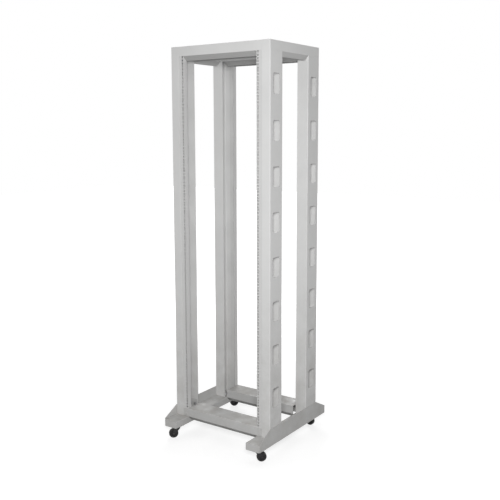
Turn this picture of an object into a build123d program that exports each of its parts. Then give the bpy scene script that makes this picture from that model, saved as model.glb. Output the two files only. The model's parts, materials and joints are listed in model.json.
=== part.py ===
from build123d import *
import os

# Four post open frame rack on casters, 42 units tall.
# X runs across the rack, -Y is its front, Z is up.
# The origin is on the floor, under the middle of the frame. Sizes are in millimetres.

# Overall frame
rack_opening = 450.0
side_width = 80.0
frame_depth = 460.0
frame_top = 2070.0
sheet = 2.0
bend_radius = 3.0
seat_gap = 0.3

# Rack units and their square holes
unit_height = 44.45
unit_count = 42
first_unit_height = 156.0
hole_size = 9.5
hole_inset = 7.55
hole_from_unit_edge = 6.35

# Corner posts
post_depth = 108.0
band_width = 48.0
inner_flange_width = 64.0
slot_count = 8
slot_unit_count = 5
slot_length = 100.0
slot_width = 60.0
slot_corner_radius = 12.0

# Mounting rails behind the bands of the posts
rail_overlap = 12.0
rail_lip = 26.0

# Folded beams of the top and the base
top_beam_wall = 48.0
base_beam_wall = 45.0
beam_lip_drop = 24.0
beam_lip_run = 24.0
side_lip_run = 18.0
base_beam_top = 154.0

# Skids, their ends and their side plates
skid_height = 38.0
skid_wall = 2.5
skid_corner_radius = 4.0
foot_reach = 95.0
end_plate = 3.0
side_plate = 3.0
side_plate_top = 160.0
side_plate_tip_height = 42.0
side_plate_rounding = 12.0

# Foot angles inside the posts
angle_leg = 60.0
angle_thickness = 3.0
angle_bend_radius = 5.0
angle_width = 54.0

# Casters
caster_height = 70.0
caster_inset = 42.0
caster_reach = 48.0
caster_plate_size = 60.0
caster_plate = 3.0
caster_plate_rounding = 6.0
race_radius = 19.0
race_height = 8.0
race_gap = 0.5
kingpin_radius = 6.0
kingpin_length = 7.0
crown_thickness = 3.0
crown_length = 30.0
fork_leg = 2.5
fork_eye_radius = 8.0
fork_side_gap = 0.5
trail = 20.0
wheel_radius = 25.0
wheel_width = 20.0
wheel_chamfer = 3.0
wheel_recess = 3.0
wheel_rim = 6.0
hub_radius = 9.0
hub_width = 22.0
axle_radius = 4.0
axle_head_radius = 6.5
axle_head = 2.5
running_clearance = 0.05
swivel_angles = {
    "front_left": 225.0,
    "front_right": 45.0,
    "rear_left": 200.0,
    "rear_right": 180.0,
}

# Sizes that follow from the driving ones
rail_edge = rack_opening / 2
half_width = rail_edge + side_width
half_depth = frame_depth / 2
band_edge = half_width - band_width
post_top = frame_top - top_beam_wall
post_bottom = caster_height + skid_height
beam_between = rail_edge - seat_gap
base_wall_bottom = base_beam_top - base_beam_wall
unit_span = unit_count * unit_height
slot_pitch = slot_unit_count * unit_height
skid_half_length = half_depth + foot_reach
caster_x = half_width - caster_inset
caster_y = half_depth + caster_reach

# The four corners as their side in X and in Y
corners = {
    "front_left": (-1, -1),
    "front_right": (1, -1),
    "rear_left": (-1, 1),
    "rear_right": (1, 1),
}


def folded_section(points, thickness, radius, side):
    """Section of a folded sheet whose outer line runs through the points."""
    outer = FilletPolyline(*points, radius=radius)
    return make_face(offset(outer, amount=thickness, side=side, closed=True))


def place_at_corner(shape, corner):
    """Mirror a shape made for the front right corner to another corner."""
    side_x, side_y = corners[corner]
    if side_x < 0:
        shape = mirror(shape, Plane.YZ)
    if side_y > 0:
        shape = mirror(shape, Plane.XZ)
    return shape


def save(shape, name):
    """Write one node of the assembly."""
    export_step(shape, f"parts/{name}.step")


def make_post():
    """Folded post of the front right corner, with its cable slots."""
    section = folded_section(
        [
            (band_edge, -half_depth),
            (half_width, -half_depth),
            (half_width, -half_depth + post_depth),
            (half_width - inner_flange_width, -half_depth + post_depth),
        ],
        sheet,
        bend_radius,
        Side.LEFT,
    )
    post = Pos(0, 0, post_bottom) * extrude(section, amount=frame_top - post_bottom)
    notch = Pos(half_width, -half_depth + sheet, post_top) * Box(
        2 * side_width,
        2 * post_depth,
        2 * top_beam_wall,
        align=(Align.CENTER, Align.MIN, Align.MIN),
    )
    slot_middle = first_unit_height + unit_span / 2
    slot = Plane.YZ * RectangleRounded(slot_width, slot_length, slot_corner_radius)
    slots = []
    for number in range(slot_count):
        height = slot_middle + (number - (slot_count - 1) / 2) * slot_pitch
        place = Pos(half_width - 2 * sheet, -half_depth + post_depth / 2, height)
        slots.append(place * extrude(slot, amount=4 * sheet))
    return post - notch - slots


def make_rail():
    """Mounting rail of the front right corner, with three square holes a unit."""
    width = band_edge + rail_overlap - rail_edge
    height = post_top - post_bottom
    middle = (post_top + post_bottom) / 2
    heights_in_unit = (hole_from_unit_edge, unit_height / 2, unit_height - hole_from_unit_edge)
    holes = []
    for unit in range(unit_count):
        for height_in_unit in heights_in_unit:
            level = first_unit_height + unit * unit_height + height_in_unit - middle
            holes.append(Pos(hole_inset, level) * Rectangle(hole_size, hole_size))
    face = Rectangle(width, height, align=(Align.MIN, Align.CENTER)) - holes
    plate = extrude(Plane.XZ * face, amount=-sheet)
    lip = Box(sheet, rail_lip, height, align=(Align.MIN, Align.MIN, Align.CENTER))
    return Pos(rail_edge, -half_depth + sheet, middle) * (plate + lip)


def beam_section(outer, direction, depth, lip_run, top, wall_end, plane):
    """Section of a folded beam: a roof, two walls and two lips that slope inwards."""
    lip_end = wall_end - beam_lip_drop
    inner = outer + direction * depth
    points = [
        (outer + direction * lip_run, lip_end),
        (outer, wall_end),
        (outer, top),
        (inner, top),
        (inner, wall_end),
        (inner - direction * lip_run, lip_end),
    ]
    side = Side.RIGHT if direction > 0 else Side.LEFT
    return plane * folded_section(points, sheet, bend_radius, side)


def cut_lips(beam, clear_half, along_x, wall_end):
    """Cut the lips away past the stretch between the posts."""
    reach = 2 * half_width
    size = (reach, 2 * frame_depth, 2 * beam_lip_drop)
    if not along_x:
        size = (2 * reach, reach, 2 * beam_lip_drop)
    for end in (-1, 1):
        middle = end * (clear_half + reach / 2)
        place = Pos(middle, 0, wall_end) if along_x else Pos(0, middle, wall_end)
        beam -= place * Box(*size, align=(Align.CENTER, Align.CENTER, Align.MAX))
    return beam


def make_top_cross_beam():
    """Front beam of the top, between the two side beams."""
    section = beam_section(-half_depth, 1, post_depth, beam_lip_run, frame_top, post_top, Plane.YZ)
    beam = extrude(section, amount=band_edge - seat_gap, both=True)
    return cut_lips(beam, beam_between, True, post_top)


def make_top_side_beam():
    """Right beam of the top, lying on the posts behind their bands."""
    section = beam_section(half_width, -1, band_width, side_lip_run, frame_top, post_top, Plane.XZ)
    beam = extrude(section, amount=half_depth - sheet, both=True)
    return cut_lips(beam, half_depth - post_depth - seat_gap, False, post_top)


def make_base_cross_beam():
    """Front beam of the base, with ears that lap in front of the mounting rails."""
    section = beam_section(
        -half_depth, 1, post_depth, beam_lip_run, base_beam_top, base_wall_bottom, Plane.YZ
    )
    beam = extrude(section, amount=beam_between, both=True)
    ear = Box(
        2 * (band_edge - seat_gap),
        sheet,
        base_beam_wall - bend_radius,
        align=(Align.CENTER, Align.MIN, Align.MIN),
    )
    return beam + Pos(0, -half_depth, base_wall_bottom) * ear


def make_skid():
    """Rectangular tube under the right pair of posts."""
    outer = RectangleRounded(side_width, skid_height, skid_corner_radius)
    inner = RectangleRounded(
        side_width - 2 * skid_wall,
        skid_height - 2 * skid_wall,
        skid_corner_radius - skid_wall,
    )
    tube = extrude(Plane.XZ * (outer - inner), amount=skid_half_length, both=True)
    return Pos(half_width - side_width / 2, 0, caster_height + skid_height / 2) * tube


def make_skid_ends():
    """Plates that close the two ends of the right skid."""
    face = RectangleRounded(side_width, skid_height, skid_corner_radius)
    plate = extrude(Plane.XZ * face, amount=end_plate)
    centre = Pos(half_width - side_width / 2, 0, caster_height + skid_height / 2)
    front = centre * Pos(0, -skid_half_length, 0) * plate
    return Compound([front, mirror(front, Plane.XZ)])


def make_side_plate():
    """Plate outside the right skid and posts, tapered towards the feet."""
    tip = skid_half_length
    tip_top = caster_height + side_plate_tip_height
    outline = Polyline(
        (-tip, caster_height),
        (tip, caster_height),
        (tip, tip_top),
        (half_depth, side_plate_top),
        (-half_depth, side_plate_top),
        (-tip, tip_top),
        close=True,
    )
    face = make_face(outline)
    upper = face.vertices().group_by(Axis.Y)[1:]
    for group in upper:
        face = fillet(group, side_plate_rounding)
    return Pos(half_width, 0, 0) * extrude(Plane.YZ * face, amount=side_plate)


def make_foot_angle():
    """Angle that holds the front right post on its skid."""
    heel = -half_depth + post_depth - sheet
    section = folded_section(
        [
            (heel - angle_leg, post_bottom),
            (heel, post_bottom),
            (heel, post_bottom + angle_leg),
        ],
        angle_thickness,
        angle_bend_radius,
        Side.LEFT,
    )
    centre = half_width - sheet - bend_radius - angle_width / 2
    angle = extrude(Plane.YZ * section, amount=angle_width / 2, both=True)
    return Pos(centre, 0, 0) * angle


def make_caster_mount():
    """Plate and swivel race of a caster, with the kingpin's axis on Z."""
    plate_bottom = caster_height - caster_plate
    race_bottom = plate_bottom - race_height
    outline = RectangleRounded(caster_plate_size, caster_plate_size, caster_plate_rounding)
    plate = extrude(outline, caster_plate)
    race = Cylinder(race_radius, race_height, align=(Align.CENTER, Align.CENTER, Align.MIN))
    race = chamfer(race.faces().sort_by(Axis.Z)[0].edges(), race_height / 4)
    bore = Cylinder(
        kingpin_radius + running_clearance,
        race_height,
        align=(Align.CENTER, Align.CENTER, Align.MIN),
    )
    return Pos(0, 0, plate_bottom) * plate + Pos(0, 0, race_bottom) * (race - bore)


def make_caster_fork():
    """Swivel fork of a caster, trailing along +X from the kingpin's axis."""
    crown_top = caster_height - caster_plate - race_height - race_gap
    crown_bottom = crown_top - crown_thickness
    half_inside = hub_width / 2 + fork_side_gap
    half_outside = half_inside + fork_leg
    eye = Pos(trail, wheel_radius) * Circle(fork_eye_radius)
    crown = Pos(0, crown_top - crown_thickness / 2) * Rectangle(crown_length, crown_thickness)
    side = make_hull(eye.edges() + crown.edges())
    fork = extrude(Plane.XZ * side, amount=half_outside, both=True)
    inside = Box(
        4 * wheel_radius,
        2 * half_inside,
        crown_bottom,
        align=(Align.CENTER, Align.CENTER, Align.MIN),
    )
    hole = Rot(90, 0, 0) * Cylinder(axle_radius + running_clearance, 4 * half_outside)
    kingpin = Cylinder(kingpin_radius, kingpin_length, align=(Align.CENTER, Align.CENTER, Align.MIN))
    fork = fork - inside - Pos(trail, 0, wheel_radius) * hole
    return fork + Pos(0, 0, crown_top) * kingpin


def make_caster_axle():
    """Headed axle of a caster, across the fork."""
    half_outside = hub_width / 2 + fork_side_gap + fork_leg
    pin = Cylinder(axle_radius, 2 * half_outside)
    head = Cylinder(axle_head_radius, axle_head, align=(Align.CENTER, Align.CENTER, Align.MIN))
    heads = Pos(0, 0, half_outside) * head + Pos(0, 0, -half_outside - axle_head) * head
    return Pos(trail, 0, wheel_radius) * Rot(90, 0, 0) * (pin + heads)


def make_caster_wheel():
    """Wheel of a caster, turned about its axle."""
    bore = axle_radius + running_clearance
    half_wheel = wheel_width / 2
    rim_inside = wheel_radius - wheel_rim
    half_web = half_wheel - wheel_recess
    outline = Polyline(
        (bore, -hub_width / 2),
        (hub_radius, -hub_width / 2),
        (hub_radius, -half_web),
        (rim_inside, -half_web),
        (rim_inside, -half_wheel),
        (wheel_radius, -half_wheel),
        (wheel_radius, half_wheel),
        (rim_inside, half_wheel),
        (rim_inside, half_web),
        (hub_radius, half_web),
        (hub_radius, hub_width / 2),
        (bore, hub_width / 2),
        close=True,
    )
    face = make_face(outline)
    tread = face.vertices().group_by(Axis.X)[-1]
    face = chamfer(tread, wheel_chamfer)
    wheel = revolve(Plane.XZ * face, Axis.Z)
    return Pos(trail, 0, wheel_radius) * Rot(90, 0, 0) * wheel


def save_frame():
    """Write the posts, rails, beams and foot angles."""
    pieces = {
        "post": make_post(),
        "mounting_rail": make_rail(),
        "foot_angle": make_foot_angle(),
    }
    for name, piece in pieces.items():
        for corner in corners:
            save(place_at_corner(piece, corner), f"{name}_{corner}")
    for name, beam in (("top_beam", make_top_cross_beam()), ("base_beam", make_base_cross_beam())):
        save(beam, f"{name}_front")
        save(mirror(beam, Plane.XZ), f"{name}_rear")
    side_beam = make_top_side_beam()
    save(mirror(side_beam, Plane.YZ), "top_beam_left")
    save(side_beam, "top_beam_right")


def save_skids():
    """Write the skids with their ends and side plates."""
    pieces = {
        "skid": make_skid(),
        "skid_ends": make_skid_ends(),
        "side_plate": make_side_plate(),
    }
    for name, piece in pieces.items():
        save(mirror(piece, Plane.YZ), f"{name}_left")
        save(piece, f"{name}_right")


def save_casters():
    """Write each caster, with its fork turned as it stands."""
    mount = make_caster_mount()
    swivelling = {
        "caster_fork": make_caster_fork(),
        "caster_axle": make_caster_axle(),
        "caster_wheel": make_caster_wheel(),
    }
    for corner, (side_x, side_y) in corners.items():
        place = Pos(side_x * caster_x, side_y * caster_y, 0)
        save(place * mount, f"caster_mount_{corner}")
        for name, piece in swivelling.items():
            save(place * Rot(0, 0, swivel_angles[corner]) * piece, f"{name}_{corner}")


os.makedirs("parts", exist_ok=True)
save_frame()
save_skids()
save_casters()
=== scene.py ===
# %% [markdown]
# # A four post open frame rack on casters
# The rack is folded steel sheet under a light grey powder coat. Its posts, rails, beams
# and skids come ready from the CAD model, because their shape is a matter of exact sizes.
# Blender adds what CAD is poor at: the finish of the paint, the rubber and the plating,
# the wheels with their ribs, the screws, and the light. Lengths are metres and Z is up.

import json
import math

import bmesh
import bpy
from mathutils import Matrix, Vector


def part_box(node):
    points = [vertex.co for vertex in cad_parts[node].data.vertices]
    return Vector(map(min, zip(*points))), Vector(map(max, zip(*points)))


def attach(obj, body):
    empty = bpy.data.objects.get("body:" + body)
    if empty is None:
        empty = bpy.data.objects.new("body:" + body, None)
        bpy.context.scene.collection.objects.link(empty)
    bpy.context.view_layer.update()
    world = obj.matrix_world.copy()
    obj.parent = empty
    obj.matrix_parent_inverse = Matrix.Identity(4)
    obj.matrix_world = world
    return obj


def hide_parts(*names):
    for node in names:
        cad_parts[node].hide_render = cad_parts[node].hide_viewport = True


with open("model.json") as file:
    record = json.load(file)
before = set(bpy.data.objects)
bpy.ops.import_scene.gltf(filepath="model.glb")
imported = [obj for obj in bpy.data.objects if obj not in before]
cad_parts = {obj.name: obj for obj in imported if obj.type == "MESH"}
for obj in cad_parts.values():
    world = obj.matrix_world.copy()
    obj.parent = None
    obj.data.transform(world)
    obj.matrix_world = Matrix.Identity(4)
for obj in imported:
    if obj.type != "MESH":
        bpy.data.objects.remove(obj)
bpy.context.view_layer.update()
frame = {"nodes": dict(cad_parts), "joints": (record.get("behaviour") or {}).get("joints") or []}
nodes = frame["nodes"]
scene = bpy.context.scene

# %% [markdown]
# ## The camera
# The photograph was taken from in front and to the right, from about four fifths of the
# rack's height. The place, the turn and the focal length were solved from the edges and
# slots of the posts, so they are plain numbers here. The picture looks as if its lens was
# shifted well down. The other views keep this camera's shift, though, so only a small one is
# used, and tilting the camera does the rest. That costs a few pixels at the nearest foot.

# %% Camera
FOCAL_PIXELS = 736.11
PRINCIPAL_ROW = 230.0
IMAGE_SIDE = 500.0
SENSOR_MM = 36.0
CAMERA_PLACE = (2.23951, -3.17741, 1.64008)
CAMERA_AZIMUTH = 34.859
CAMERA_PITCH = 7.612
CAMERA_ROLL = -0.147


def make_camera(place, azimuth, pitch, roll):
    """A camera that looks down by pitch, turned left of +Y by azimuth, in degrees."""
    azimuth, pitch, roll = (math.radians(a) for a in (azimuth, pitch, roll))
    forward = Vector((
        -math.sin(azimuth) * math.cos(pitch),
        math.cos(azimuth) * math.cos(pitch),
        -math.sin(pitch),
    ))
    level_right = Vector((math.cos(azimuth), math.sin(azimuth), 0.0))
    level_up = level_right.cross(forward)
    right = level_right * math.cos(roll) + level_up * math.sin(roll)
    up = right.cross(forward)
    turn = Matrix((right, up, -forward)).transposed()
    data = bpy.data.cameras.new("photo_camera")
    data.sensor_width = SENSOR_MM
    data.lens = FOCAL_PIXELS / IMAGE_SIDE * SENSOR_MM
    data.shift_y = (PRINCIPAL_ROW - IMAGE_SIDE / 2) / IMAGE_SIDE
    data.clip_end = 100.0
    camera = bpy.data.objects.new("photo_camera", data)
    camera.matrix_world = Matrix.Translation(place) @ turn.to_4x4()
    scene.collection.objects.link(camera)
    return camera


scene.camera = make_camera(CAMERA_PLACE, CAMERA_AZIMUTH, CAMERA_PITCH, CAMERA_ROLL)
optics = scene.camera.data
print("lens", round(optics.lens, 2), "mm, shift", round(optics.shift_y, 4))

# %% [markdown]
# ## Small helpers for node trees
# Every finish below is built from shader nodes. These helpers keep the cells short: they
# add a node and fill its sockets, do one step of arithmetic, map one range of values to
# another, and open a node group with named inputs and outputs, so that the same effect can
# be used in several materials with other values.

# %% Node helpers
VALUE = "NodeSocketFloat"


def fill(tree, socket, value):
    """Link a socket to another one, or set it to a plain value."""
    if isinstance(value, bpy.types.NodeSocket):
        tree.links.new(value, socket)
    else:
        socket.default_value = value


def add_node(tree, kind, settings=None, **sockets):
    """Add a node, set its properties, and fill its inputs by name."""
    node = tree.nodes.new(kind)
    for key, value in (settings or {}).items():
        setattr(node, key, value)
    for key, value in sockets.items():
        fill(tree, node.inputs[key.replace("_", " ")], value)
    return node


def calculate(tree, operation, first, second=0.0, clamp=False):
    """One step of arithmetic between values."""
    node = add_node(tree, "ShaderNodeMath", {"operation": operation, "use_clamp": clamp})
    fill(tree, node.inputs[0], first)
    fill(tree, node.inputs[1], second)
    return node.outputs[0]


def map_range(tree, value, start, end, low=0.0, high=1.0):
    """Map values from start to end to the range from low to high, and clamp them."""
    node = add_node(
        tree, "ShaderNodeMapRange", Value=value,
        From_Min=start, From_Max=end, To_Min=low, To_Max=high,
    )
    return node.outputs["Result"]


def object_position(tree):
    """The place of a point in the object's own coordinates."""
    return add_node(tree, "ShaderNodeTexCoord").outputs["Object"]


def facing_up(tree):
    """How far a surface faces up: 1 for a top, 0 for a wall, -1 for an underside."""
    normal = add_node(tree, "ShaderNodeNewGeometry").outputs["Normal"]
    return add_node(tree, "ShaderNodeSeparateXYZ", Vector=normal).outputs["Z"]


def new_group(name, inputs, outputs):
    """Open a shader node group of values: inputs are (name, default), outputs names."""
    tree = bpy.data.node_groups.new(name, "ShaderNodeTree")
    for label, value in inputs:
        socket = tree.interface.new_socket(label, in_out="INPUT", socket_type=VALUE)
        socket.default_value = value
    for label in outputs:
        tree.interface.new_socket(label, in_out="OUTPUT", socket_type=VALUE)
    given = tree.nodes.new("NodeGroupInput").outputs
    out = tree.nodes.new("NodeGroupOutput").inputs
    return tree, given, out


def use_group(tree, group, **values):
    """Place a node group in a tree with its own values."""
    return add_node(tree, "ShaderNodeGroup", {"node_tree": group}, **values).outputs


print("node helpers ready")

# %% [markdown]
# ## Worn edges
# Powder coat is thinnest on a sharp fold, and that is where knocks land. The bevel node
# looks at the surface as if its edges were rounded. Where that normal turns away from the
# real one there is an edge, and a noise breaks it up so that only some spots are rubbed.

# %% Group: worn edges
NORMALS_AGREE = 0.995
NORMALS_DIFFER = 0.86
SPOT_START = 0.56
SPOT_FULL = 0.66

worn_edges, given, out = new_group(
    "worn_edges", [("Width", 0.0015), ("Scale", 40.0), ("Amount", 0.5)], ["Mask"],
)
rounded = add_node(worn_edges, "ShaderNodeBevel", {"samples": 4}, Radius=given["Width"])
flat = add_node(worn_edges, "ShaderNodeNewGeometry")
turned = add_node(worn_edges, "ShaderNodeVectorMath", {"operation": "DOT_PRODUCT"})
fill(worn_edges, turned.inputs[0], rounded.outputs["Normal"])
fill(worn_edges, turned.inputs[1], flat.outputs["Normal"])
edge = map_range(worn_edges, turned.outputs["Value"], NORMALS_AGREE, NORMALS_DIFFER)
spots = add_node(
    worn_edges, "ShaderNodeTexNoise",
    Vector=object_position(worn_edges), Scale=given["Scale"], Detail=4.0,
)
spot = map_range(worn_edges, spots.outputs["Fac"], SPOT_START, SPOT_FULL)
rubbed = calculate(worn_edges, "MULTIPLY", edge, spot)
rubbed = calculate(worn_edges, "MULTIPLY", rubbed, given["Amount"], clamp=True)
fill(worn_edges, out["Mask"], rubbed)
print("group", worn_edges.name)

# %% [markdown]
# ## Settled dust
# Dust lies on what faces up and gathers low down. The mask reads how far the surface faces
# up and how high it is, and a cloudy noise keeps it from being even.

# %% Group: settled dust
DUST_HOLDS = 0.35
DUST_LIES = 0.95
DUSTIEST_HEIGHT = 0.02
CLOUD_START = 0.3
CLOUD_FULL = 0.72

settled_dust, given, out = new_group(
    "settled_dust", [("Amount", 0.3), ("Fade height", 0.9)], ["Mask"],
)
position = object_position(settled_dust)
on_top = map_range(settled_dust, facing_up(settled_dust), DUST_HOLDS, DUST_LIES)
height = add_node(settled_dust, "ShaderNodeSeparateXYZ", Vector=position).outputs["Z"]
low_down = map_range(settled_dust, height, given["Fade height"], DUSTIEST_HEIGHT)
clouds = add_node(
    settled_dust, "ShaderNodeTexNoise",
    Vector=position, Scale=14.0, Detail=6.0, Roughness=0.65,
)
cloud = map_range(settled_dust, clouds.outputs["Fac"], CLOUD_START, CLOUD_FULL)
lying = calculate(settled_dust, "ADD", on_top, low_down)
lying = calculate(settled_dust, "MULTIPLY", lying, cloud)
lying = calculate(settled_dust, "MULTIPLY", lying, given["Amount"], clamp=True)
fill(settled_dust, out["Mask"], lying)
print("group", settled_dust.name)

# %% [markdown]
# ## Painted shade on undersides
# What faces down is painted a darker grey, standing in for the shade under folds and
# beams. The mask reads how far the surface faces down.

# %% Group: painted shade on undersides
SHADE_STARTS = -0.35
SHADE_FULL = -0.72

painted_underside_shade, given, out = new_group("painted_underside_shade", [("Amount", 0.4)], ["Mask"])
# Painted shade: the mask darkens what faces down.
down = map_range(painted_underside_shade, facing_up(painted_underside_shade), SHADE_STARTS, SHADE_FULL)
down = calculate(painted_underside_shade, "MULTIPLY", down, given["Amount"], clamp=True)
fill(painted_underside_shade, out["Mask"], down)
print("group", painted_underside_shade.name)

# %% [markdown]
# ## Grain of a sprayed or moulded surface
# A baked powder coat has a fine orange peel, and its gloss varies a little from patch to
# patch. One group gives both: a height for a bump, and a slow value for colour and gloss.
# Both sizes are inputs, so plating and rubber use the same group with a finer grain.

# %% Group: surface grain
surface_grain, given, out = new_group(
    "surface_grain", [("Grain scale", 900.0), ("Patch scale", 5.0)], ["Height", "Patches"],
)
position = object_position(surface_grain)
for result, scale, detail in (("Height", "Grain scale", 2.0), ("Patches", "Patch scale", 5.0)):
    noise = add_node(
        surface_grain, "ShaderNodeTexNoise",
        Vector=position, Scale=given[scale], Detail=detail,
    )
    fill(surface_grain, out[result], noise.outputs["Fac"])
print("group", surface_grain.name)

# %% [markdown]
# ## Helpers for materials
# A material starts from its shader alone. A noise stays near the middle of its range, so it
# is stretched before it drives a colour or a gloss. The last helper finishes the surface: a
# fine bump on top of a bevel normal, which rounds every fold for the light.

# %% Material helpers
NOISE_LOW = 0.3
NOISE_HIGH = 0.7
FOLD_SAMPLES = 6
MIX_COLOUR_A, MIX_COLOUR_B, MIX_COLOUR_RESULT = 6, 7, 2


def mix_colours(tree, share, first, second):
    """Mix two colours by a share."""
    node = add_node(tree, "ShaderNodeMix", {"data_type": "RGBA"})
    fill(tree, node.inputs[0], share)
    fill(tree, node.inputs[MIX_COLOUR_A], first)
    fill(tree, node.inputs[MIX_COLOUR_B], second)
    return node.outputs[MIX_COLOUR_RESULT]


def spread(tree, noise, low=0.0, high=1.0):
    """Map a noise, which stays near the middle, to a range."""
    return map_range(tree, noise, NOISE_LOW, NOISE_HIGH, low, high)


def scaled(colour, factor):
    """A colour made darker or lighter, with its alpha at 1."""
    return [channel * factor for channel in colour[:3]] + [1.0]


def new_material(name):
    """A material with only its shader, ready for nodes."""
    material = bpy.data.materials.new(name)
    material.use_nodes = True
    tree = material.node_tree
    return material, tree, tree.nodes["Principled BSDF"]


def add_relief(tree, shader, height, strength, depth, fold_radius=None):
    """Bump the surface by a height, over folds that a bevel normal rounds."""
    bump = add_node(tree, "ShaderNodeBump", Height=height, Strength=strength, Distance=depth)
    if fold_radius:
        fold = add_node(
            tree, "ShaderNodeBevel", {"samples": FOLD_SAMPLES}, Radius=fold_radius,
        )
        fill(tree, bump.inputs["Normal"], fold.outputs["Normal"])
    fill(tree, shader.inputs["Normal"], bump.outputs["Normal"])


print("material helpers ready")

# %% [markdown]
# ## Light grey powder coat
# The paint is a neutral light grey with a satin gloss. Its colour drifts a little over the
# patches, what faces down is painted a darker grey as shade, dust greys it low down and on
# top, and where an edge is worn the steel shows and the surface turns metallic. The base has
# the same paint in a darker grey, which is painted shade for the low parts, and its
# undersides are fully shaded. The rails have the same paint in a slightly darker grey. Both
# have more wear, because they are knocked and used more.

# %% Material: powder coat
PAINT_GREY = (0.66, 0.66, 0.655, 1.0)
RAIL_GREY = (0.61, 0.61, 0.605, 1.0)
# The base's darker grey is painted shade: the low parts of the rack are darker in it.
BASE_SHADE_GREY = (0.53, 0.53, 0.525, 1.0)
# The darker grey of the painted shade on undersides.
UNDERSIDE_SHADE_GREY = (0.20, 0.20, 0.195, 1.0)
STEEL_GREY = (0.30, 0.30, 0.30, 1.0)
DUST_GREY = (0.40, 0.385, 0.36, 1.0)
PAINT_DRIFT = 0.93
SATIN_GLOSS = (0.40, 0.50)


def painted_steel(name, colour, wear, dust, underside=0.65, fold_radius=0.0012):
    """Satin powder coat on folded steel, with shade painted on what faces down; underside sets how
    much.
    """
    material, tree, shader = new_material(name)
    grain = use_group(tree, surface_grain)
    worn = use_group(tree, worn_edges, Amount=wear)["Mask"]
    dusty = use_group(tree, settled_dust, Amount=dust)["Mask"]
    underside_shade = use_group(tree, painted_underside_shade, Amount=underside)["Mask"]
    patches = spread(tree, grain["Patches"])
    coat = mix_colours(tree, patches, scaled(colour, PAINT_DRIFT), colour)
    # Painted shade: what faces down is mixed towards a darker grey.
    coat = mix_colours(tree, underside_shade, coat, UNDERSIDE_SHADE_GREY)
    coat = mix_colours(tree, dusty, coat, DUST_GREY)
    coat = mix_colours(tree, worn, coat, STEEL_GREY)
    gloss = spread(tree, grain["Patches"], *SATIN_GLOSS)
    fill(tree, shader.inputs["Base Color"], coat)
    fill(tree, shader.inputs["Metallic"], worn)
    fill(tree, shader.inputs["Roughness"], calculate(tree, "ADD", gloss, dusty))
    add_relief(tree, shader, grain["Height"], 0.12, 0.0004, fold_radius)
    return material


paint = painted_steel("light_grey_powder_coat", PAINT_GREY, wear=0.35, dust=0.55)
# The base paint carries painted shade: a darker grey, and full shade on its undersides.
shaded_base_paint = painted_steel(
    "light_grey_powder_coat_base_shaded", BASE_SHADE_GREY, wear=0.6, dust=0.45, underside=1.0,
)
rail_paint = painted_steel(
    "light_grey_powder_coat_rail", RAIL_GREY, wear=0.8, dust=0.25, fold_radius=0.0006,
)
print("paints:", paint.name, shaded_base_paint.name, rail_paint.name)

# %% [markdown]
# ## Zinc plate, bright and black
# Zinc is a soft metal with a cloudy gloss, so its roughness and colour wander. The screws of
# the foot angles are bright zinc, with a slight blue. The caster plates, forks, axle bolts
# and caster screws are plated black: the same metal in a near black colour, with less dust.
# That near black is partly the plating and partly painted shade, for the shade that lies on
# the casters under the skids.

# %% Material: zinc plate
BRIGHT_ZINC = (0.60, 0.605, 0.62, 1.0)
# Near black: the plating, and painted shade on the casters under the skids.
BLACK_ZINC_AND_SHADE = (0.030, 0.030, 0.032, 1.0)
ZINC_DRIFT = 0.8


def zinc_plate(name, colour, gloss, dust):
    """Dull plated metal with a cloudy gloss."""
    material, tree, shader = new_material(name)
    grain = use_group(tree, surface_grain, Grain_scale=1400.0, Patch_scale=60.0)
    dusty = use_group(tree, settled_dust, Amount=dust)["Mask"]
    patches = spread(tree, grain["Patches"])
    metal = mix_colours(tree, patches, scaled(colour, ZINC_DRIFT), colour)
    bare = calculate(tree, "SUBTRACT", 1.0, dusty)
    fill(tree, shader.inputs["Base Color"], mix_colours(tree, dusty, metal, DUST_GREY))
    fill(tree, shader.inputs["Metallic"], bare)
    fill(tree, shader.inputs["Roughness"], spread(tree, grain["Patches"], *gloss))
    add_relief(tree, shader, grain["Height"], 0.15, 0.0002, fold_radius=0.0005)
    return material


zinc = zinc_plate("zinc_plate", BRIGHT_ZINC, gloss=(0.34, 0.50), dust=0.3)
# This black plate also paints the shade on the casters under the skids.
dark_zinc_and_shade = zinc_plate("zinc_plate_black_and_shade", BLACK_ZINC_AND_SHADE, gloss=(0.38, 0.55), dust=0.06)
print("metals:", zinc.name, dark_zinc_and_shade.name)

# %% [markdown]
# ## Black rubber and black nylon
# The wheels are black. The tyre is matt and picks up a little dust, and the moulded hub
# inside it is glossier, so the two read as two materials. Both reflect less than a usual
# plastic does, because their surface is open and scuffed.

# %% Material: wheel black
TYRE_COLOUR = (0.009, 0.009, 0.009, 1.0)
HUB_COLOUR = (0.014, 0.014, 0.015, 1.0)
SCUFF_DRIFT = 1.7
GLOSS_DRIFT = 0.15
OPEN_SURFACE_SPECULAR = 0.3


def wheel_black(name, colour, roughness, dust, grain_scale):
    """Moulded black with a fine grain and dust."""
    material, tree, shader = new_material(name)
    grain = use_group(tree, surface_grain, Grain_scale=grain_scale, Patch_scale=45.0)
    dusty = use_group(tree, settled_dust, Amount=dust)["Mask"]
    patches = spread(tree, grain["Patches"])
    black = mix_colours(tree, patches, colour, scaled(colour, SCUFF_DRIFT))
    gloss = spread(tree, grain["Patches"], roughness, roughness + GLOSS_DRIFT)
    fill(tree, shader.inputs["Base Color"], mix_colours(tree, dusty, black, DUST_GREY))
    fill(tree, shader.inputs["Roughness"], gloss)
    fill(tree, shader.inputs["Specular IOR Level"], OPEN_SURFACE_SPECULAR)
    add_relief(tree, shader, grain["Height"], 0.3, 0.0003)
    return material


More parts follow.
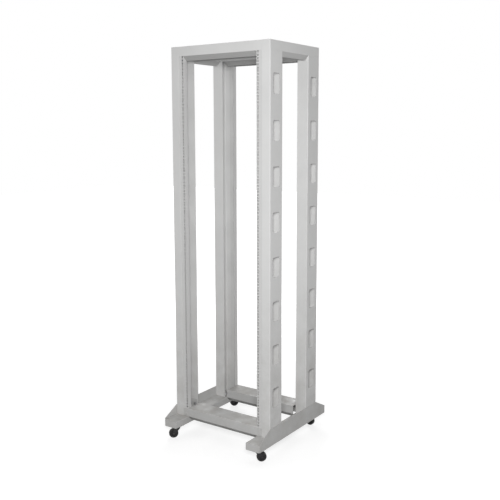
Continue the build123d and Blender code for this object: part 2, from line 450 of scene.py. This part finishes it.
tyre_black = wheel_black(
    "tyre_black", TYRE_COLOUR, roughness=0.62, dust=0.04, grain_scale=1100.0,
)
hub_black = wheel_black(
    "hub_black", HUB_COLOUR, roughness=0.42, dust=0.03, grain_scale=1600.0,
)
print("blacks:", tyre_black.name, hub_black.name)

# %% [markdown]
# ## Painting the CAD pieces
# A CAD piece keeps its mesh. Only the material in its slot changes, by the kind of piece
# that its name gives. What the table doesn't name, the posts and the top beams, is painted
# light grey.

# %% Assign materials to the CAD pieces
finishes = {
    "mounting_rail": rail_paint,
    "base_beam": shaded_base_paint,
    "skid": shaded_base_paint,
    "side_plate": shaded_base_paint,
    "foot_angle": shaded_base_paint,
    "caster_mount": dark_zinc_and_shade,
    "caster_fork": dark_zinc_and_shade,
    "caster_axle": dark_zinc_and_shade,
    "caster_wheel": tyre_black,
}


def finish_for(name):
    """The material of a CAD piece, by the start of its name."""
    for start, material in finishes.items():
        if name.startswith(start):
            return material
    return paint


for name, piece in nodes.items():
    for index in range(max(1, len(piece.material_slots))):
        if index >= len(piece.data.materials):
            piece.data.materials.append(None)
        piece.data.materials[index] = finish_for(name)
print("painted", len(nodes), "CAD pieces")

# %% [markdown]
# ## Turning a bmesh into a piece
# New pieces are modelled with bmesh operators. When one is done its normals are made to
# face out, it becomes a mesh object at the origin, and it rides on the body that carries it.

# %% Piece helpers
SMOOTH_ANGLE = math.radians(35.0)
SAME_POINT = 1e-6


def finish_piece(bm, name, material, body):
    """Make an object of a bmesh, give it its finish, and let it ride on a body."""
    bmesh.ops.recalc_face_normals(bm, faces=bm.faces)
    for face in bm.faces:
        face.smooth = True
    for side in bm.edges:
        if len(side.link_faces) == 2 and side.calc_face_angle() > SMOOTH_ANGLE:
            side.smooth = False
    mesh = bpy.data.meshes.new(name)
    bm.to_mesh(mesh)
    bm.free()
    mesh.materials.append(material)
    piece = bpy.data.objects.new(name, mesh)
    scene.collection.objects.link(piece)
    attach(piece, body)
    return piece


def spin_profile(bm, points, steps):
    """Turn a closed profile of (radius, height) points about the Z axis."""
    corners = [bm.verts.new((radius, 0.0, height)) for radius, height in points]
    lines = [bm.edges.new((a, b)) for a, b in zip(corners, corners[1:] + corners[:1])]
    bmesh.ops.spin(
        bm, geom=corners + lines, cent=(0, 0, 0), axis=(0, 0, 1),
        angle=2 * math.pi, steps=steps, use_merge=True, use_duplicate=False,
    )
    bmesh.ops.remove_doubles(bm, verts=bm.verts, dist=SAME_POINT)


def place_new(bm, known, place):
    """Move the vertices that were added since known to their place."""
    fresh = [v for v in bm.verts if v not in known]
    bmesh.ops.transform(bm, matrix=place, verts=fresh)


def stand_on(point, direction):
    """A matrix that takes +Z to a direction and the origin to a point."""
    turn = Vector(direction).to_track_quat("Z", "Y").to_matrix().to_4x4()
    return Matrix.Translation(point) @ turn


print("piece helpers ready")

# %% [markdown]
# ## The wheels
# A 50 mm caster wheel is a rubber tyre on a moulded hub. The tyre is a profile turned about
# the axle, with its shoulders rounded by a bevel. The hub is a thin web with a rim, a boss
# and six ribs, which is how such hubs are moulded to save plastic. The two halves of its
# profile mirror each other, so only one is written out.

# %% Wheels
WHEEL_RADIUS = 0.025
WHEEL_HALF = 0.010
SHOULDER = 0.004
TYRE_INSIDE = 0.0185
BOSS_RADIUS = 0.009
BOSS_HALF = 0.011
BOSS_CHAMFER = 0.001
AXLE_HOLE_RADIUS = 0.0041
WEB_HALF = 0.0025
RIM_AT_WEB = 0.0022
RIM_AT_EDGE = 0.0018
RIM_EDGE_INSET = 0.001
TYRE_SEAT_INSET = 0.0006
RIB_COUNT = 6
RIB_WIDTH = 0.0016
RIB_INSET = 0.004
RIB_SHORTER = 0.0012
RIB_OVERLAP = 0.0003
TYRE_STEPS = 56
HUB_STEPS = 48
CORNERS = ("front_left", "front_right", "rear_left", "rear_right")
joints = {joint["name"]: joint for joint in frame["joints"]}


def make_tyre(place):
    """Rubber tyre with round shoulders."""
    bm = bmesh.new()
    spin_profile(bm, [
        (TYRE_INSIDE, -WHEEL_HALF), (WHEEL_RADIUS, -WHEEL_HALF),
        (WHEEL_RADIUS, WHEEL_HALF), (TYRE_INSIDE, WHEEL_HALF),
    ], TYRE_STEPS)
    shoulders = [
        e for e in bm.edges
        if all(abs(v.co.xy.length - WHEEL_RADIUS) < 1e-5 for v in e.verts)
        and abs(e.verts[0].co.z - e.verts[1].co.z) < SAME_POINT
    ]
    bmesh.ops.bevel(
        bm, geom=shoulders, offset=SHOULDER, offset_type="OFFSET", affect="EDGES",
        segments=5, profile=0.5, material=-1,
    )
    bmesh.ops.transform(bm, matrix=place, verts=bm.verts)
    return bm


def make_hub(place):
    """Moulded hub: web, rim, boss and six ribs that stand out on both sides."""
    bm = bmesh.new()
    half = [
        (AXLE_HOLE_RADIUS, -BOSS_HALF),
        (BOSS_RADIUS - BOSS_CHAMFER, -BOSS_HALF),
        (BOSS_RADIUS, -BOSS_HALF + BOSS_CHAMFER),
        (BOSS_RADIUS, -WEB_HALF),
        (TYRE_INSIDE - RIM_AT_WEB, -WEB_HALF),
        (TYRE_INSIDE - RIM_AT_EDGE, -WHEEL_HALF + RIM_EDGE_INSET),
        (TYRE_INSIDE, -WHEEL_HALF + TYRE_SEAT_INSET),
    ]
    spin_profile(bm, half + [(r, -h) for r, h in reversed(half)], HUB_STEPS)
    length = TYRE_INSIDE - BOSS_RADIUS - RIB_SHORTER
    size = Matrix.Diagonal((length, RIB_WIDTH, 2 * WHEEL_HALF - RIB_INSET, 1.0))
    out_along = Matrix.Translation((BOSS_RADIUS + length / 2 - RIB_OVERLAP, 0, 0))
    for number in range(RIB_COUNT):
        known = set(bm.verts)
        bmesh.ops.create_cube(bm, size=1.0)
        turn = Matrix.Rotation(math.radians(360 / RIB_COUNT * number), 4, "Z")
        place_new(bm, known, turn @ out_along @ size)
    bmesh.ops.transform(bm, matrix=place, verts=bm.verts)
    return bm


for corner in CORNERS:
    axle = joints["wheel_spin_" + corner]
    body = "wheel_" + corner
    place = stand_on(axle["pos_m"], axle["axis"])
    tyre = finish_piece(make_tyre(place), "tyre_" + corner, tyre_black, body)
    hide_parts("caster_wheel_" + corner)
    finish_piece(make_hub(place), "wheel_hub_" + corner, hub_black, body)
print("made", len(CORNERS), "wheels")

# %% [markdown]
# ## A hexagon head
# The axles and screws below share one helper. A head is a six sided cylinder whose outer
# corners are cut by a bevel. It stands on a washer, a flat disc, where one is asked for.

# %% Hexagon head helper
UP = (0, 0, 1)
DOWN = (0, 0, -1)
HEAD_CHAMFER = 0.16


def add_disc(bm, radius, depth, sides):
    """An upright cylinder about the origin."""
    bmesh.ops.create_cone(
        bm, cap_ends=True, segments=sides, radius1=radius, radius2=radius, depth=depth,
    )


def add_hexagon_head(bm, place, radius, height, washer_radius=0.0, washer=0.0):
    """A hexagon head that stands on a washer, along the Z axis of its place."""
    if washer_radius:
        known = set(bm.verts)
        add_disc(bm, washer_radius, washer, 20)
        place_new(bm, known, place @ Matrix.Translation((0, 0, washer / 2)))
    known = set(bm.verts)
    add_disc(bm, radius, height, 6)
    fresh = [v for v in bm.verts if v not in known]
    top = [e for e in bm.edges if all(v in fresh and v.co.z > 0 for v in e.verts)]
    bmesh.ops.bevel(
        bm, geom=top, offset=height * HEAD_CHAMFER, offset_type="OFFSET", affect="EDGES",
        segments=2, profile=0.5, material=-1,
    )
    place_new(bm, known, place @ Matrix.Translation((0, 0, washer + height / 2)))


print("hexagon head helper ready")

# %% [markdown]
# ## Axle bolts
# Each wheel turns on a bolt that runs through the fork, with a head at either end. The bolt
# stays still in the fork while the wheel turns, so it rides on the body that swivels.

# %% Axle bolts
BOLT_RADIUS = 0.004
BOLT_HALF = 0.014
BOLT_HEAD_RADIUS = 0.0065
BOLT_HEAD = 0.0024

for corner in CORNERS:
    axle = joints["wheel_spin_" + corner]
    bm = bmesh.new()
    add_disc(bm, BOLT_RADIUS, 2 * BOLT_HALF, 24)
    for end, outward in ((BOLT_HALF, UP), (-BOLT_HALF, DOWN)):
        head_place = stand_on((0, 0, end), outward)
        add_hexagon_head(bm, head_place, BOLT_HEAD_RADIUS, BOLT_HEAD)
    bmesh.ops.transform(bm, matrix=stand_on(axle["pos_m"], axle["axis"]), verts=bm.verts)
    bolt = finish_piece(bm, "axle_bolt_" + corner, dark_zinc_and_shade, "swivel_" + corner)
    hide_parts("caster_axle_" + corner)
print("made", len(CORNERS), "axle bolts")

# %% [markdown]
# ## Screws of the caster plates
# Four screws hold each caster under its skid. Their heads hang below the corners of the
# plate, clear of the fork as it swivels. The plate's box gives their places.

# %% Screws of the caster plates
PLATE_THICKNESS = 0.003
PLATE_HOLE_HALF = 0.0225
PLATE_HEAD = {"radius": 0.0050, "height": 0.0032, "washer_radius": 0.0058, "washer": 0.0008}

for corner in CORNERS:
    low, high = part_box("caster_mount_" + corner)
    middle = (low + high) / 2
    underside = high.z - PLATE_THICKNESS
    bm = bmesh.new()
    for side_x in (-PLATE_HOLE_HALF, PLATE_HOLE_HALF):
        for side_y in (-PLATE_HOLE_HALF, PLATE_HOLE_HALF):
            seat = stand_on((middle.x + side_x, middle.y + side_y, underside), DOWN)
            add_hexagon_head(bm, seat, **PLATE_HEAD)
    finish_piece(bm, "caster_screws_" + corner, dark_zinc_and_shade, "frame")
print("made", 4 * len(CORNERS), "caster plate screws")

# %% [markdown]
# ## Screws of the foot angles
# An angle holds each post on its skid, with two screws in the leg that lies on the skid and
# two in the leg that stands against the post. The heel, where the legs meet, is the side of
# the box away from the rack's end, so the front and rear angles mirror each other.

# %% Screws of the foot angles
ANGLE_THICKNESS = 0.003
ANGLE_SCREW_HALF = 0.014
ANGLE_SCREW_OUT = 0.034
ANGLE_SCREW_UP = 0.036
ANGLE_HEAD = {"radius": 0.0072, "height": 0.0052, "washer_radius": 0.0083, "washer": 0.0014}

for corner in CORNERS:
    low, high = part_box("foot_angle_" + corner)
    towards = -1 if low.y < 0 else 1
    heel = high.y if towards < 0 else low.y
    lying = (heel + towards * ANGLE_SCREW_OUT, low.z + ANGLE_THICKNESS)
    standing = (heel + towards * ANGLE_THICKNESS, low.z + ANGLE_SCREW_UP)
    bm = bmesh.new()
    for side_x in (-ANGLE_SCREW_HALF, ANGLE_SCREW_HALF):
        across = (low.x + high.x) / 2 + side_x
        for seat, outward in ((lying, UP), (standing, (0, towards, 0))):
            add_hexagon_head(bm, stand_on((across, *seat), outward), **ANGLE_HEAD)
    finish_piece(bm, "foot_angle_screws_" + corner, zinc, "frame")
print("made", 4 * len(CORNERS), "foot angle screws")

# %% [markdown]
# ## Button heads
# The ears of the base beams are held to the rails by low round heads with a socket, sprayed
# together with the frame. Each is a dome profile turned about its own axis. The profile
# starts and ends a hair off the axis, and the small rings that leaves are merged into points.

# %% Button heads
OFF_AXIS = 1e-5
MERGE_RING = 3e-5
SOCKET_RADIUS = 0.36
SOCKET_FLOOR = 0.35
DOME = ((0.62, 0.93), (0.86, 0.66), (1.0, 0.22), (1.0, 0.0))
BUTTON_RADIUS = 0.0048
BUTTON_HEIGHT = 0.0022
EAR_SCREW_X = 0.238
EAR_SCREW_HEIGHTS = (0.120, 0.140)


def add_button_head(bm, place, radius, height):
    """A low round head with a socket in its middle. The profile is in shares of its size."""
    known = set(bm.verts)
    socket = radius * SOCKET_RADIUS
    points = [(OFF_AXIS, height * SOCKET_FLOOR), (socket, height * SOCKET_FLOOR), (socket, height)]
    points += [(radius * out_share, height * up_share) for out_share, up_share in DOME]
    points.append((OFF_AXIS, 0.0))
    corners = [bm.verts.new((r, 0.0, h)) for r, h in points]
    lines = [bm.edges.new(pair) for pair in zip(corners, corners[1:])]
    bmesh.ops.spin(
        bm, geom=corners + lines, cent=(0, 0, 0), axis=(0, 0, 1),
        angle=2 * math.pi, steps=20, use_merge=True, use_duplicate=False,
    )
    fresh = [v for v in bm.verts if v not in known]
    bmesh.ops.remove_doubles(bm, verts=fresh, dist=MERGE_RING)
    place_new(bm, known, place)


for end, out_y in (("front", -1), ("rear", 1)):
    low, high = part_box("base_beam_" + end)
    face = low.y if out_y < 0 else high.y
    bm = bmesh.new()
    for side_x in (-EAR_SCREW_X, EAR_SCREW_X):
        for height in EAR_SCREW_HEIGHTS:
            seat = stand_on((side_x, face, height), (0, out_y, 0))
            add_button_head(bm, seat, BUTTON_RADIUS, BUTTON_HEIGHT)
    finish_piece(bm, "base_beam_screws_" + end, shaded_base_paint, "frame")
print("made 8 screws in the ears of the base beams")

# %% [markdown]
# ## Floor and world
# A studio shot on white has a floor and a background that read as plain white. Part of the
# floor's white is the light it gets, so it keeps a soft shadow of the rack. The rest is shown
# only to the camera and to reflections, and grows with the distance from the rack, so that
# the far floor meets the background without a line and without lighting the rack more.

# %% Floor and world
FLOOR_SIZE = 14.0
FLOOR_WHITE = (0.42, 0.42, 0.42, 1.0)
FLOOR_GLOW = 0.72
FAR_GLOW = 0.45
GLOW_GROWS_FROM = 0.8
GLOW_GROWS_TO = 3.0
AMBIENT = 0.26
WHITE = (1.0, 1.0, 1.0, 1.0)


def seen_ray(tree):
    """One for rays of the camera and of reflections, zero for light that falls on things."""
    path = tree.nodes.new("ShaderNodeLightPath").outputs
    seen = calculate(tree, "ADD", path["Is Camera Ray"], path["Is Glossy Ray"], clamp=True)
    return calculate(tree, "ADD", seen, path["Is Transmission Ray"], clamp=True)


def white_floor():
    """White that keeps a soft shadow."""
    material, tree, shader = new_material("white_floor")
    tree.nodes.remove(shader)
    diffuse = add_node(tree, "ShaderNodeBsdfDiffuse", Color=FLOOR_WHITE)
    distance = add_node(tree, "ShaderNodeVectorMath", {"operation": "LENGTH"})
    fill(tree, distance.inputs[0], object_position(tree))
    far = map_range(
        tree, distance.outputs["Value"], GLOW_GROWS_FROM, GLOW_GROWS_TO,
        FLOOR_GLOW, FLOOR_GLOW + FAR_GLOW,
    )
    strength = calculate(tree, "MULTIPLY", seen_ray(tree), far)
    glow = add_node(tree, "ShaderNodeEmission", Color=WHITE, Strength=strength)
    both = tree.nodes.new("ShaderNodeAddShader")
    fill(tree, both.inputs[0], diffuse.outputs[0])
    fill(tree, both.inputs[1], glow.outputs[0])
    fill(tree, tree.nodes["Material Output"].inputs["Surface"], both.outputs[0])
    return material


bm = bmesh.new()
bmesh.ops.create_grid(bm, x_segments=2, y_segments=2, size=FLOOR_SIZE)
mesh = bpy.data.meshes.new("floor")
bm.to_mesh(mesh)
bm.free()
mesh.materials.append(white_floor())
floor = bpy.data.objects.new("floor", mesh)
scene.collection.objects.link(floor)

world = bpy.data.worlds.new("studio")
scene.world = world
world.use_nodes = True
tree = world.node_tree
background = tree.nodes["Background"]
shown = calculate(tree, "MULTIPLY", seen_ray(tree), 1.0 - AMBIENT)
fill(tree, background.inputs["Color"], WHITE)
fill(tree, background.inputs["Strength"], calculate(tree, "ADD", shown, AMBIENT))
print("floor and world ready")

# %% [markdown]
# ## Lamps
# The photograph was lit from near the camera: the slots in the near post are as bright as
# its face, the folds under the beams are dark, and the light falls off towards the feet. A
# square lamp beside the camera gives the bright slots and part of the fall off; the dark
# folds under the beams and the rest of the fall off are painted shade in the powder coat. A
# weaker lamp behind the rack lights what the camera doesn't see, so that the back looks right
# too, and a faint one overhead lights the roof of the top beams and hardly reaches the base.

# %% Lamps
LAMPS = (
    # name, place, target, side in metres, power in watts
    ("key", (1.95, -2.75, 1.85), (0.0, 0.0, 1.15), 0.6, 87.0),
    ("back", (-2.0, 2.9, 2.3), (0.0, 0.0, 1.1), 1.4, 62.0),
    ("overhead", (0.0, 0.0, 4.0), (0.0, 0.0, 0.0), 1.2, 11.0),
)


def add_lamp(name, place, target, size, power):
    """A square soft lamp that faces a point."""
    data = bpy.data.lights.new(name, "AREA")
    data.shape = "SQUARE"
    data.size = size
    data.energy = power
    lamp = bpy.data.objects.new(name, data)
    aim = (Vector(target) - Vector(place)).to_track_quat("-Z", "Y")
    lamp.matrix_world = Matrix.Translation(place) @ aim.to_matrix().to_4x4()
    scene.collection.objects.link(lamp)


for lamp in LAMPS:
    add_lamp(*lamp)
scene.view_settings.view_transform = "Standard"
print("made", len(LAMPS), "lamps")
